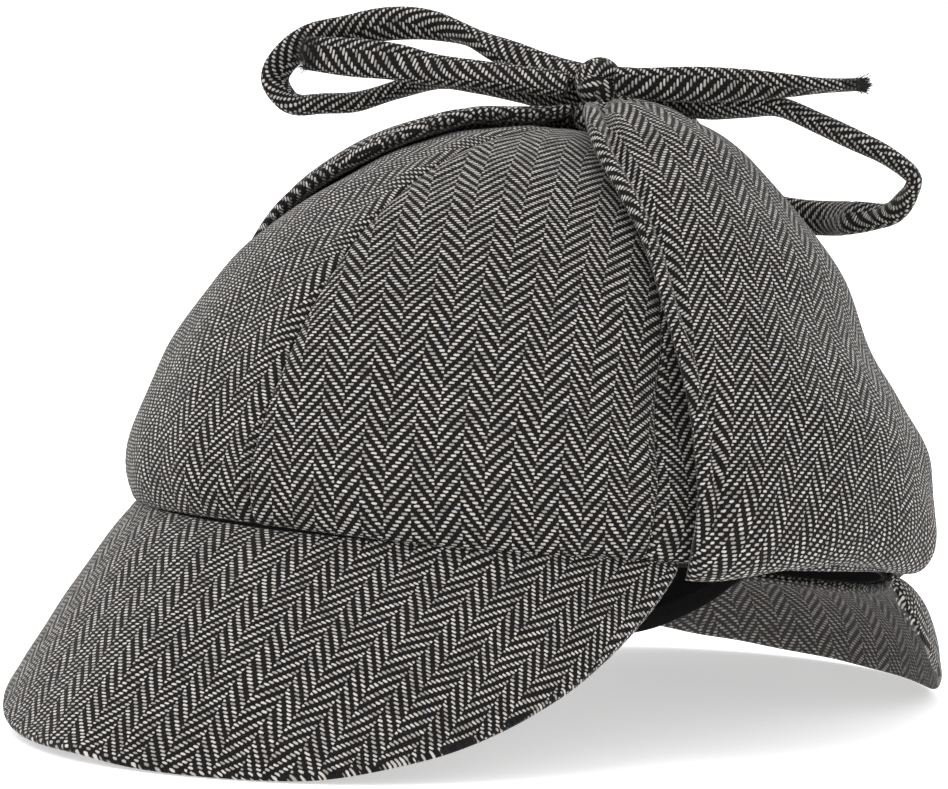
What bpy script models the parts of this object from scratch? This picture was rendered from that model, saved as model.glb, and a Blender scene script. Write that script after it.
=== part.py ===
"""A deerstalker hat of herringbone tweed, its two ear flaps folded up and tied in a bow on top.

The cloth is laid out in the hat's own frame: the middle of the base line is the origin, -Y is the
brow, +X the wearer's left ear and +Z the top of the head. Angles run round the head in degrees,
0 at the brow, 90 at the left ear and 180 at the nape. place() then sets the hat down as it rests
on its two peaks, brow a little higher than nape, with the surface at z = 0. Lengths are in metres.
"""

import math

import bmesh
import bpy
import numpy as np

# The base, where the head goes in, measured outside the cloth.
HALF_WIDTH = 0.084
HALF_LENGTH = 0.102
SIDE_RISE = 0.004  # the ties pull the base line up at the ears

# The crown: six panels, base to apex, meeting under the knot.
CROWN_HEIGHT = 0.102
APEX_X = -0.0045
APEX_Y = 0.0115
BASE_PUFF = 0.04  # the cloth swells out just above the base line, as a share of the radius
PUFF_AT = 0.07  # how far up that swelling is fullest
FULLNESS = 0.022
RIGHT_SLACK = 0.045  # share by which the right side has sunk in, halfway up
SLACK_UP = (0.22, 0.95)  # shares up the crown between which it does
SLACK_WIDTH = 0.03  # how far to the right of the middle it is in full
DENT = 0.0034  # how deep the cloth has sunk in beside the left flap's front edge
DENT_MIDDLE = (64.5, 0.215)  # its angle, and share up the crown
DENT_HALF = (7.5, 0.10)
BROW_SHAPE = (2.2, 2.1)  # powers of the dome's height and radius: 2 and 2 is an ellipse
NAPE_SHAPE = (1.55, 1.7)
PANEL_TOP = 0.96
CLOTH = 0.002  # tweed and its backing
GAP = 0.0003  # between neighbouring pieces

# name, angle of its front seam, angle of its back seam
PANELS = (
    ("front_left", 2.2, 62.0),
    ("side_left", 62.0, 120.0),
    ("back_left", 120.0, 180.0),
    ("front_right", -62.0, 2.2),
    ("side_right", -120.0, -62.0),
    ("back_right", -180.0, -120.0),
)
PANEL_CELLS = (9, 12)  # round the head, and up the crown

# The peaks: half their spread round the head, depth at the middle, how far they slope below the
# base line in the middle and at the corners, and how much the slope grows towards the free edge.
# ahead is how far the cloth runs straight forward or back, 1, and not square to the base line, 0.
# taper is how soon the depth falls off towards the corners. The cloth has lost its shape a little:
# twist is how much lower a peak's free edge hangs at the left ear than in the middle, in metres,
# and skew the share by which the cloth is deeper at its left corner, were it not to taper.
FRONT_PEAK = dict(
    middle=0.0, half_spread=67.0, depth=0.068, slope=45.7, corner_slope=57.8, curl=7.5,
    ahead=0.43, taper=0.89, twist=-0.002, skew=0.155, cloth=0.0028,
)
REAR_PEAK = dict(
    middle=180.0, half_spread=57.6, depth=0.0402, slope=5.4, corner_slope=15.3, curl=45.8,
    ahead=0.83, taper=0.352, twist=0.0083, skew=-0.12, cloth=0.0028,
)
PEAK_CORNER = 0.0015  # depth left at a peak's corners
PEAK_CELLS = (26, 6)

# The ear flaps: the angles of their edges at each height up the crown. The right one has slipped
# further over the brow.
FLAP_EDGE = (
    # share up the crown, left flap's front edge, right flap's front edge, back edge of both
    (0.00, 67.5, 69.0, 120.0),
    (0.08, 66.2, 67.0, 124.5),
    (0.20, 64.4, 65.5, 127.0),
    (0.36, 60.5, 62.0, 128.0),
    (0.43, 58.8, 54.0, 130.0),
    (0.50, 56.5, 45.0, 132.0),
    (0.58, 52.5, 35.0, 136.0),
    (0.69, 46.5, 26.0, 142.0),
    (0.77, 43.5, 22.0, 148.0),
    (0.86, 40.5, 19.0, 156.0),
    (0.93, 37.0, 16.0, 163.0),
)
# How far the outer face stands off the crown, in millimetres.
FLAP_STAND_OFF = (
    # share up the crown, left flap's front edge, middle, back edge, right flap's front, middle, back
    (0.00, 4.8, 7.2, 7.4, 4.8, 7.2, 7.5),
    (0.07, 6.2, 7.4, 5.8, 5.7, 7.4, 5.8),
    (0.14, 6.3, 8.0, 6.4, 5.5, 8.0, 6.3),
    (0.21, 6.5, 9.1, 7.7, 5.5, 8.5, 7.0),
    (0.30, 6.5, 6.8, 4.2, 4.8, 7.5, 6.0),
    (0.40, 6.0, 4.8, 2.4, 4.0, 6.0, 4.5),
    (0.50, 6.2, 7.2, 6.0, 4.3, 6.3, 5.5),
    (0.62, 7.0, 8.8, 7.5, 4.3, 6.4, 6.5),
    (0.73, 7.5, 10.5, 9.0, 5.2, 6.8, 7.0),
    (0.82, 7.5, 9.5, 8.0, 5.6, 6.3, 6.5),
    (0.93, 6.0, 6.5, 5.5, 4.8, 5.2, 5.5),
)
# How far the bottom fold hangs below the base line, in millimetres.
FLAP_FOLD = (
    # share from front edge to back edge, drop
    (0.00, 4.0),
    (0.25, 2.0),
    (0.50, -1.0),
    (0.80, -2.5),
    (1.00, -3.0),
)
FLAP_FOLD_REACH = 0.2  # share up the crown over which the fold's drop fades out
FLAP_THICK = 0.0042
FLAP_EDGE_THICK = 0.0030
FLAP_CLEAR = 0.0007  # least space between a flap and the crown
FLAP_CELLS = (12, 17)

# The sweatband, a ribbon round the inside that has come down on the right of the nape.
BAND_UP = 0.17  # share up the crown that it reaches
BAND_ROWS = (0.35, 0.7, 1.0)  # shares of that height at which its points lie
BAND_HANG = 0.985  # its lower edge hangs this much nearer the middle
BAND_THICK = 0.0009
BAND_CELLS = 60
BAND_DROP = (
    # angle, how far its lower edge hangs below the base line in millimetres
    (-180.0, 2.5),
    (-175.0, 5.0),
    (-171.0, 9.0),
    (-166.0, 14.0),
    (-160.0, 19.0),
    (-154.0, 22.0),
    (-145.0, 22.0),
    (-130.0, 14.0),
    (-112.0, 4.0),
    (-95.0, 2.5),
    (-80.0, 2.5),
    (50.0, 2.5),
    (180.0, 2.5),
)

# The bow. Its loops and ends lie along a line turned a little from ear to ear.
KNOT = (-0.003, 0.0125, 0.1138)
KNOT_HALF = (0.0048, 0.0062, 0.0062)
BOW_TURN = 20.0
TIE_WIDTH = 0.0076
TIE_SIDES = 2  # bevel resolution, for 8 sides
TIE_STEP = 0.0085
TIE_NECK = 0.016  # each tie is pinched over this length where the knot grips it
TIE_NECK_SHARE = 0.36

# The ties' routes in the hat's own frame, in millimetres, chosen by hand along what is seen.
TIE_ROUTES = {
    "bow_loop_right": (
        (-9, 12, 116), (-18, 9, 117), (-29, 5, 120), (-38, 2, 123), (-47, -1, 124.5), (-56, -4, 124),
        (-67, -8, 121.5), (-75, -12, 118.5), (-80, -15, 113), (-82, -16, 107.5), (-79, -15, 103),
        (-75, -14, 101.5), (-70, -11, 102.5), (-63, -6, 104), (-55, -1, 108), (-46, 4, 112),
        (-37, 8, 112), (-27, 11, 111), (-17, 13, 110), (-9, 14, 111.5),
    ),
    "tie_end_right": (
        (-9, 8, 113), (-19, 2, 113), (-28, -4, 113), (-38, -8, 113), (-48, -12, 114),
        (-58, -15, 114), (-67, -18, 114), (-70, -19, 114),
    ),
    "tie_end_left": (
        (3, 12, 115), (11, 14, 115), (22, 18, 116), (33, 22, 117), (44, 26, 118), (53, 30, 119),
        (60, 33, 120),
    ),
    "bow_loop_left": (
        (3, 16, 112), (11, 21, 112), (21, 25, 111), (30, 28, 112), (39, 30, 113), (49, 33, 110),
        (58, 35, 107), (66, 38, 104), (72, 41, 100), (72, 42, 97), (69, 43, 93), (62, 46, 90),
        (52, 48, 89), (45, 54, 89), (36, 60, 89), (26, 63, 89), (17, 62, 90), (10, 57, 94),
        (6, 48, 100), (5, 39, 106), (5, 29, 111), (3, 19, 114.5),
    ),
}

# How the hat rests on a surface.
REST_PITCH = 6.7  # brow up
REST_Y = 0.0085  # puts the middle of the hat without its ties over the origin
REST_Z = 0.0381  # height of the middle of the base line
PRESS = 0.001  # cloth lower than this is pressed flat against the surface

COLOURS = {
    # piece of cloth, colour, roughness
    "tweed": ((0.16, 0.155, 0.15), 0.95),
    "ribbon": ((0.02, 0.02, 0.021), 0.8),
}


def row_between(rows, at, column):
    """The table's column at a place between its rows, joined by a smooth curve."""
    places = np.array([row[0] for row in rows])
    values = np.array([row[column] for row in rows])
    at = np.clip(at, places[0], places[-1])
    slopes = np.gradient(values, places)
    last = len(places) - 2
    index = np.clip(np.searchsorted(places, at, side="right") - 1, 0, last)
    span = places[index + 1] - places[index]
    t = (at - places[index]) / span
    start, end = values[index], values[index + 1]
    out = t * t * (3 - 2 * t)
    bend = t * (1 - t) * span
    return start + (end - start) * out + bend * ((1 - t) * slopes[index] - t * slopes[index + 1])


def dent(angle, up):
    """How far the crown is sunk in at a place."""
    aside = (angle - DENT_MIDDLE[0]) / DENT_HALF[0]
    above = (up - DENT_MIDDLE[1]) / DENT_HALF[1]
    return DENT * np.exp(-(aside**2)) * np.clip(1 - above**2, 0, 1)


def base_line(angle):
    """The outside of the base at this angle round the head."""
    turn = np.radians(angle)
    x = HALF_WIDTH * np.sin(turn)
    y = -HALF_LENGTH * np.cos(turn)
    return np.stack([x, y, SIDE_RISE * np.sin(turn) ** 2], axis=-1)


def crown_skin(angle, up):
    """A point on the crown's outside. up runs from 0 at the base to 1 at the apex."""
    nape = (0.5 - 0.5 * np.cos(np.radians(angle))) ** 1.3
    height_power = BROW_SHAPE[0] + (NAPE_SHAPE[0] - BROW_SHAPE[0]) * nape
    radius_power = BROW_SHAPE[1] + (NAPE_SHAPE[1] - BROW_SHAPE[1]) * nape
    turn = np.clip(up, 0.0, 1.0) * math.pi / 2
    height = np.sin(turn) ** (2 / height_power)
    radius = np.maximum(np.cos(turn), 0.0) ** (2 / radius_power)
    puff = up / PUFF_AT * np.exp(1 - up / PUFF_AT)
    radius = radius * (1 + BASE_PUFF * puff + FULLNESS * np.sin(math.pi * np.clip(up / 0.8, 0, 1)))
    base = base_line(angle)
    lean = height**1.5
    x = base[..., 0] * radius + APEX_X * lean
    to_right = np.clip(-x / SLACK_WIDTH, 0, 1)
    between = np.clip((up - SLACK_UP[0]) / (SLACK_UP[1] - SLACK_UP[0]), 0, 1)
    sunk = RIGHT_SLACK * np.sin(math.pi * between) * to_right
    x = x * (1 - sunk)
    y = base[..., 1] * radius + APEX_Y * lean
    z = base[..., 2] * (1 - height) + CROWN_HEIGHT * height
    return np.stack([x, y, z], axis=-1)


def unit(vectors):
    return vectors / np.maximum(np.linalg.norm(vectors, axis=-1, keepdims=True), 1e-12)


def crown_point(angle, up, off=0.0, aside=0.0):
    """A point off metres out from the crown, moved aside metres along it towards larger angles."""
    angle, up, off = np.broadcast_arrays(np.float64(angle), np.float64(up), np.float64(off))
    step = 0.001
    rise = crown_skin(angle, np.minimum(up + step, 1)) - crown_skin(angle, np.maximum(up - step, 0))
    along = unit(crown_skin(angle + 0.5, up) - crown_skin(angle - 0.5, up))
    out = unit(np.cross(along, rise))
    return crown_skin(angle, up) + out * off[..., None] + along * np.float64(aside)[..., None]


def place(points):
    """From the hat's own frame to the frame in which it rests, pressing the lowest cloth flat."""
    pitch = math.radians(REST_PITCH)
    x, y, z = points[..., 0], points[..., 1], points[..., 2]
    back = y * math.cos(pitch) + z * math.sin(pitch) + REST_Y
    height = z * math.cos(pitch) - y * math.sin(pitch) + REST_Z
    pressed = PRESS * np.exp(np.minimum(height - PRESS, 0) / PRESS)
    height = np.where(height < PRESS, pressed, height)
    return np.stack([x, back, height], axis=-1)


def material(name):
    found = bpy.data.materials.get(name)
    if found:
        return found
    colour, roughness = COLOURS[name.split(".")[0]]
    made = bpy.data.materials.new(name)
    made.use_nodes = True
    shader = made.node_tree.nodes["Principled BSDF"]
    shader.inputs["Base Color"].default_value = (*colour, 1.0)
    shader.inputs["Roughness"].default_value = roughness
    shader.inputs["Metallic"].default_value = 0.0
    return made


def add_object(name, data, cloth):
    piece = bpy.data.objects.new(name, data)
    bpy.context.scene.collection.objects.link(piece)
    data.materials.append(material(f"{cloth}.{name}"))
    return piece


def sheet_faces(rows, columns, first, ring):
    """Quads over a grid of points numbered from first, closed round its columns if ring."""
    faces = []
    for row in range(rows - 1):
        for column in range(columns if ring else columns - 1):
            after = (column + 1) % columns
            a = first + row * columns + column
            b = first + row * columns + after
            faces.append((a, b, b + columns, a + columns))
    return faces


def shell_mesh(name, outer, inner, ring=False):
    """A closed wall between two grids of points of the same size."""
    rows, columns = outer.shape[:2]
    count = rows * columns
    points = place(np.concatenate([outer.reshape(-1, 3), inner.reshape(-1, 3)]))
    faces = sheet_faces(rows, columns, 0, ring) + sheet_faces(rows, columns, count, ring)
    top = (rows - 1) * columns
    for column in range(columns if ring else columns - 1):
        after = (column + 1) % columns
        faces.append((column, after, count + after, count + column))
        faces.append((top + column, top + after, count + top + after, count + top + column))
    if not ring:
        for row in range(rows - 1):
            for edge in (0, columns - 1):
                a = row * columns + edge
                faces.append((a, a + columns, count + a + columns, count + a))
    mesh = bpy.data.meshes.new(name)
    mesh.from_pydata([tuple(p) for p in points], [], faces)
    tidy = bmesh.new()
    tidy.from_mesh(mesh)
    bmesh.ops.recalc_face_normals(tidy, faces=tidy.faces)
    tidy.to_mesh(mesh)
    tidy.free()
    mesh.shade_smooth()
    mesh.set_sharp_from_angle(angle=math.radians(50))
    return mesh


def crown_panel(name, front, back):
    """One gore of the crown, with half a gap left at each seam and at the base."""
    columns, rows = PANEL_CELLS
    share = np.linspace(0, 1, columns + 1)
    up = np.linspace(0, 1, rows + 1) ** 1.15 * PANEL_TOP
    angle = (front + (back - front) * share)[None, :]
    aside = GAP / 2 * np.sign(np.round(0.5 - share, 6)) * (np.abs(share - 0.5) > 0.499)
    sunk = -dent(angle, up[:, None])
    outer = crown_point(angle, up[:, None], sunk, aside[None, :])
    inner = crown_point(angle, up[:, None], sunk - CLOTH, aside[None, :])
    lift = np.array([0.0, 0.0, GAP / 2])
    return add_object(name, shell_mesh(name, outer + lift, inner + lift), "tweed")


def peak_point(shape, angle, down, off):
    """A point on a peak. angle is from its middle, down from 0 at the base to 1 at its edge."""
    angle, down = np.broadcast_arrays(np.float64(angle), np.float64(down))
    forward = -1.0 if shape["middle"] == 0.0 else 1.0
    share = np.clip(np.abs(angle) / shape["half_spread"], 0, 1)
    depth = shape["depth"] * (1 - share**2.2) ** shape["taper"] + PEAK_CORNER
    depth = depth * (1 + shape["skew"] * np.clip(angle / shape["half_spread"], -1, 1))
    spread = np.sin(share * math.pi / 2) ** 1.5
    slope = shape["slope"] + (shape["corner_slope"] - shape["slope"]) * spread
    round_head = angle if forward < 0 else 180.0 - angle
    base = base_line(round_head) - np.array([0.0, 0.0, GAP / 2])
    turn = np.radians(angle)
    square = unit(np.stack([np.sin(turn) / HALF_WIDTH, forward * np.cos(turn) / HALF_LENGTH], -1))
    straight = np.stack([np.zeros_like(angle), np.full_like(angle, forward)], -1)
    away = unit((1 - shape["ahead"]) * square + shape["ahead"] * straight)
    tilt = np.radians(slope + shape["curl"] * (down - 0.5))
    level, fall = np.cos(tilt), np.sin(tilt)
    run = down * depth
    x = base[..., 0] + away[..., 0] * level * run
    y = base[..., 1] + away[..., 1] * level * run
    twist = shape["twist"] * base[..., 0] / HALF_WIDTH * run / shape["depth"]
    z = base[..., 2] - fall * run - twist
    face = np.stack([away[..., 0] * fall, away[..., 1] * fall, level], -1)
    return np.stack([x, y, z], -1) + face * np.float64(off)[..., None]


def peak(name, shape):
    """A stiff double layer of cloth, thinner at its free edge."""
    columns, rows = PEAK_CELLS
    bunched = np.sin(np.linspace(-1, 1, columns + 1) * math.pi / 2 * 0.94)
    angle = (bunched / bunched[-1] * shape["half_spread"])[None, :]
    down = np.linspace(0, 1, rows + 1)[:, None]
    thick = shape["cloth"] * (1 - 0.35 * down**4) * np.ones_like(angle)
    outer = peak_point(shape, angle, down, np.zeros_like(thick))
    inner = peak_point(shape, angle, down, -thick)
    return add_object(name, shell_mesh(name, outer, inner), "tweed")


def flap_grid(side, layer):
    """The outer (1) or inner (0) face of a flap: rows up the crown, columns front to back."""
    columns, rows = FLAP_CELLS
    share = np.linspace(0, 1, columns + 1)[None, :]
    up = np.linspace(0, 1, rows + 1)[:, None] ** 1.1 * FLAP_EDGE[-1][0]
    front, back = (row_between(FLAP_EDGE, up, c) for c in ((1, 3) if side > 0 else (2, 3)))
    angle = front + (back - front) * share
    columns_of_side = (1, 2, 3) if side > 0 else (4, 5, 6)
    at_front, at_middle, at_back = (row_between(FLAP_STAND_OFF, up, c) / 1000 for c in columns_of_side)
    to_edge = np.abs(2 * share - 1) ** 2.5
    at_edge = np.where(share < 0.5, at_front, at_back)
    stand = at_middle + (at_edge - at_middle) * to_edge
    thick = FLAP_THICK + (FLAP_EDGE_THICK - FLAP_THICK) * to_edge
    off = stand if layer else np.maximum(stand - thick, FLAP_CLEAR)
    points = crown_point(side * angle, up, off)
    drop = row_between(FLAP_FOLD, share, 1) / 1000
    sunk = crown_point(side * angle, 0.0, off)[..., 2] - base_line(side * angle)[..., 2]
    points[..., 2] -= (sunk + drop) * np.clip(1 - up / FLAP_FOLD_REACH, 0, 1) ** 2
    return points


def ear_flap(name, side):
    return add_object(name, shell_mesh(name, flap_grid(side, 1), flap_grid(side, 0)), "tweed")


def band_grid(off):
    """A face of the sweatband, off metres inside the outside of the base."""
    angle = np.linspace(-180, 180, BAND_CELLS, endpoint=False)
    low = -row_between(BAND_DROP, angle, 1) / 1000
    foot = crown_point(angle, 0.0, -off)
    hanging = foot * BAND_HANG
    hanging[:, 2] = base_line(angle)[:, 2] + low
    up = BAND_UP * np.array(BAND_ROWS)[:, None]
    rising = crown_point(angle, up, -off - dent(angle, up))
    return np.stack([hanging, foot, *rising])


def sweatband(name):
    outside = CLOTH + 2 * GAP
    outer = band_grid(outside)
    inner = band_grid(outside + BAND_THICK)
    return add_object(name, shell_mesh(name, outer, inner, ring=True), "ribbon")


def bow_knot(name):
    """The wrapped knot: a ball drawn in along the bow's line."""
    data = bpy.data.meshes.new(name)
    ball = bmesh.new()
    bmesh.ops.create_uvsphere(ball, u_segments=16, v_segments=10, radius=1.0)
    turn = math.radians(BOW_TURN)
    for vertex in ball.verts:
        along, across, height = vertex.co
        long_way = along * KNOT_HALF[0]
        wide_way = across * KNOT_HALF[1]
        x = KNOT[0] + long_way * math.cos(turn) - wide_way * math.sin(turn)
        y = KNOT[1] + long_way * math.sin(turn) + wide_way * math.cos(turn)
        vertex.co = place(np.array([x, y, KNOT[2] + height * KNOT_HALF[2]]))
    ball.to_mesh(data)
    ball.free()
    data.shade_smooth()
    return add_object(name, data, "tweed")


def smooth_route(route, step):
    """Points a step apart along a smooth curve through the route's own points, in metres."""
    through = np.array(route, float) / 1000
    ends = np.concatenate([[2 * through[0] - through[1]], through, [2 * through[-1] - through[-2]]])
    dense = []
    for i in range(1, len(ends) - 2):
        before, start, end, after = ends[i - 1 : i + 3]
        for t in np.linspace(0, 1, 20, endpoint=False):
            a = -before + 3 * start - 3 * end + after
            b = 2 * before - 5 * start + 4 * end - after
            c = end - before
            dense.append(0.5 * (a * t**3 + b * t**2 + c * t) + start)
    dense.append(ends[-2])
    dense = np.array(dense)
    travelled = np.concatenate([[0], np.cumsum(np.linalg.norm(np.diff(dense, axis=0), axis=1))])
    count = max(2, round(travelled[-1] / step)) + 1
    wanted = np.linspace(0, travelled[-1], count)
    points = np.stack([np.interp(wanted, travelled, dense[:, axis]) for axis in range(3)], -1)
    return points, wanted


def tie(name, route):
    """A narrow sewn tube of cloth, pinched where it enters the knot."""
    points, travelled = smooth_route(route, TIE_STEP)
    points = place(points)
    total = travelled[-1]
    data = bpy.data.curves.new(name, "CURVE")
    data.dimensions = "3D"
    data.bevel_depth = TIE_WIDTH / 2
    data.bevel_resolution = TIE_SIDES
    data.use_fill_caps = True
    spline = data.splines.new("POLY")
    spline.points.add(len(points) - 1)
    for point, where, distance in zip(spline.points, points, travelled):
        from_knot = min(distance, total - distance) if name.startswith("bow_loop") else distance
        share = min(from_knot / TIE_NECK, 1.0)
        point.co = (*where, 1.0)
        point.radius = TIE_NECK_SHARE + (1 - TIE_NECK_SHARE) * share**1.5
    return add_object(name, data, "tweed")


def main():
    for old in list(bpy.data.objects):
        bpy.data.objects.remove(old, do_unlink=True)
    for name, front, back in PANELS:
        crown_panel(f"crown_panel_{name}", front, back)
    peak("front_peak", FRONT_PEAK)
    peak("rear_peak", REAR_PEAK)
    ear_flap("ear_flap_left", 1)
    ear_flap("ear_flap_right", -1)
    sweatband("sweatband")
    bow_knot("bow_knot")
    for name, route in TIE_ROUTES.items():
        tie(name, route)


main()
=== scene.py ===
"""The look of a deerstalker hat of herringbone tweed, its ear flaps folded up and tied in a bow.

The cloth is laid out in the hat's own frame, as the solids are: the middle of the base line is the
origin, -Y is the brow, +X the wearer's left ear and +Z the top of the head. Angles run round the
head in degrees, 0 at the brow, 90 at the left ear and 180 at the nape. place() sets the hat down
as it rests. Lengths are in metres, except where a name or a table says millimetres.
"""

import math
from functools import partialmethod

import bmesh
import bpy
import numpy as np
from mathutils import Matrix


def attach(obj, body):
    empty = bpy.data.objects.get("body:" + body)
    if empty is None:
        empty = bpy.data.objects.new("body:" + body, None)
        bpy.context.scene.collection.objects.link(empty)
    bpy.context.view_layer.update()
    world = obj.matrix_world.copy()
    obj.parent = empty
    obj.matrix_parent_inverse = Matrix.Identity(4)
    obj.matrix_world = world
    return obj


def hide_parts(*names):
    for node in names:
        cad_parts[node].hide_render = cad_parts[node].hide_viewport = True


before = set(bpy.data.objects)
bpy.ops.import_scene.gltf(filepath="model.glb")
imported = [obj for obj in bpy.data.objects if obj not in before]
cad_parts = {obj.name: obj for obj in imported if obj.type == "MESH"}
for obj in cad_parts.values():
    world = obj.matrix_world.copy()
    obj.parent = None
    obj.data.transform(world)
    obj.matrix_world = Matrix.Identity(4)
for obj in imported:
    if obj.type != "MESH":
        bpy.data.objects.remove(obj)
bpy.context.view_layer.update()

# The base, where the head goes in, measured outside the cloth.
HALF_WIDTH = 0.084
HALF_LENGTH = 0.102
SIDE_RISE = 0.004  # how much higher the base line is at the ears
SIDE_LIFT = 0.0022  # how far it is drawn up further behind the left flap
SIDE_LIFT_AT = (112.0, 24.0)  # angle, spread

# The crown.
CROWN_HEIGHT = 0.102
APEX_X = -0.0045
APEX_Y = 0.0115
BASE_PUFF = 0.04  # share by which it swells just above the base
PUFF_AT = 0.07
FULLNESS = 0.022  # share by which it swells half way up
RIGHT_SLACK = 0.045  # share by which its right side has sunk in
SLACK_UP = (0.22, 0.95)
SLACK_WIDTH = 0.03
DENT = 0.0034  # how deep the cloth has sunk in beside the left flap's front edge
DENT_MIDDLE = (64.5, 0.215)  # its angle, and share up the crown
DENT_HALF = (7.5, 0.10)
BROW_SHAPE = (2.2, 2.1)  # powers of height and radius: how square the profile is at the brow
NAPE_SHAPE = (1.55, 1.7)
CLOTH = 0.002
GORE_TOP = 0.985  # share up the crown
GORE_SIDES = (0.085, 0.140)  # about how wide and long
GORE_BELLY = 0.0011  # how far it stands out between its seams
GORE_WAVES = ((0.0005, 0.035, 11), (0.00022, 0.013, 12))  # height, size, seed
SEAM_SUNK = 0.0005
SEAM_RIDGE = 0.0004  # over the edges turned in beside a seam
SEAM_RIDGE_AT = (0.0042, 0.0022)  # its way from the seam, its spread
SEAM_ROUND = 0.0011
HEM_ROUND = 0.0014
HEM_REACH = 0.0009  # how far the crown's hem comes down over the front peak's steep sides

# name, angle of its front seam, angle of its back seam
PANELS = (
    ("front_left", 2.2, 62.0),
    ("side_left", 62.0, 120.0),
    ("back_left", 120.0, 180.0),
    ("front_right", -62.0, 2.2),
    ("side_right", -120.0, -62.0),
    ("back_right", -180.0, -120.0),
)

FRONT_PEAK = dict(
    forward=-1.0, half_spread=67.0, depth=0.068, slope=45.7, corner_slope=57.8, curl=7.5,
    ahead=0.43, taper=0.89, twist=-0.002, skew=0.155, grain=50.0,
)
REAR_PEAK = dict(
    forward=1.0, half_spread=57.6, depth=0.0402, slope=5.4, corner_slope=15.3, curl=45.8,
    ahead=0.83, taper=0.352, twist=0.0083, skew=-0.12,
)
PEAK_CLOTH = 0.0028
PEAK_CORNER = 0.0015  # depth left at its corners
PEAK_WIDTH = 0.19  # about
PEAK_SIDE_ROUND = 0.0014
PEAK_EDGE_ROUND = 0.0015
PEAK_WAVES = ((0.0006, 0.05, 21), (0.00015, 0.012, 22))
PEAK_STITCH = 0.0003  # how deep the stitching draws it in
PEAK_STITCH_AT = (0.0045, 0.002)  # its way from the edge, its spread
TONGUE = 0.0019  # how far a peak reaches in under the crown's hem
TONGUE_DROP = 0.0003

FLAP_EDGE = (
    # share up the crown, left flap's front edge, right flap's front edge, back edge of both
    (0.00, 67.5, 69.0, 120.0), (0.08, 66.2, 67.0, 124.5), (0.20, 64.4, 65.5, 127.0),
    (0.36, 60.5, 62.0, 128.0), (0.43, 58.8, 54.0, 130.0), (0.50, 56.5, 45.0, 132.0),
    (0.58, 52.5, 35.0, 136.0), (0.69, 46.5, 26.0, 142.0), (0.77, 43.5, 22.0, 148.0),
    (0.86, 40.5, 19.0, 156.0), (0.93, 37.0, 16.0, 163.0), (0.975, 34.0, 14.0, 166.0),
)
FLAP_STAND_OFF = (
    # share up the crown, left flap's front edge, middle, back edge, right flap's front, middle, back
    (0.00, 4.8, 7.2, 7.4, 4.8, 7.2, 7.5), (0.07, 6.2, 7.4, 5.8, 5.7, 7.4, 5.8),
    (0.14, 6.3, 8.0, 6.4, 5.5, 8.0, 6.3), (0.21, 6.5, 9.1, 7.7, 5.5, 8.5, 7.0),
    (0.30, 6.5, 6.8, 4.2, 4.8, 7.5, 6.0), (0.40, 6.0, 4.8, 2.4, 4.0, 6.0, 4.5),
    (0.50, 6.2, 7.2, 6.0, 4.3, 6.3, 5.5), (0.62, 7.0, 8.8, 7.5, 4.3, 6.4, 6.5),
    (0.73, 7.5, 10.5, 9.0, 5.2, 6.8, 7.0), (0.82, 7.5, 9.5, 8.0, 5.6, 6.3, 6.5),
    (0.93, 6.0, 6.5, 5.5, 4.8, 5.2, 5.5), (0.975, 6.5, 6.5, 6.0, 6.5, 6.5, 6.0),
)
FLAP_FOLD = (
    # share from front edge to back edge, how far the fold hangs below the base line in millimetres
    (0.00, 4.0), (0.09, 3.4), (0.17, 2.0), (0.26, 0.6), (0.40, -0.6), (0.60, -1.2),
    (0.80, -1.4), (1.00, -1.4),
)
FLAP_FOLD_REACH = 0.2  # share up the crown
FLAP_THICK = (
    # share up the crown, thickness in millimetres
    (0.00, 6.0), (0.10, 6.0), (0.25, 4.6), (0.50, 4.2), (0.80, 3.8), (0.96, 3.4),
)
FLAP_TIP = 0.003  # how far the left flap's top stands up to the knot
FLAP_TIP_AT = (95.0, 45.0)  # angle, spread
FLAP_SIDES = (0.13, 0.16)  # about how wide and long
FLAP_SIDE_ROUND = 0.0022
FLAP_END_ROUND = 0.0036
FLAP_EDGE_THICK = 0.0032
FLAP_CLEAR = 0.0007  # between flap and crown
FLAP_STITCH_AT = (0.0044, 0.0012)  # the stitched groove's way from the edge, its spread
FLAP_STITCH = {1: 0.0015, -1: 0.0007}  # its depth on the left and the right flap
FLAP_WAVES = ((0.0007, 0.034, 31), (0.0003, 0.012, 32))
FLAP_DRAWN = (0.74, 0.2)  # share up the crown where the gathers start, and over which they grow
FLAP_GATHERS = (5.0, 0.0009)  # number, height
GATHER_WANDER = (2.0, 0.03, 33)

BAND_UP = 0.17  # share up the crown that the sweatband covers
BAND_OFF = 0.0006  # between sweatband and crown
BAND_HANG = 0.985  # size of its hanging edge, as a share of the base
BAND_THICK = 0.0009
BAND_STEP = 2.4  # millimetres of ribbon between its columns of points
RIBBON_LIT_EDGE = 5.2  # millimetres, its lower edge, painted paler: a painted highlight where light catches it
RIBBON_RIB = 0.6  # millimetres
BAND_DROP = (
    # angle, how far its lower edge hangs below the base line in millimetres
    (-180.0, 0.4), (-175.0, 4.0), (-171.0, 9.0), (-166.0, 14.0), (-160.0, 19.0),
    (-154.0, 22.0), (-145.0, 22.0), (-130.0, 14.0), (-112.0, 4.0), (-95.0, 2.5),
    (-80.0, 2.5), (50.0, 2.5), (80.0, 1.0), (130.0, 0.2), (180.0, 0.4),
)

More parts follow.
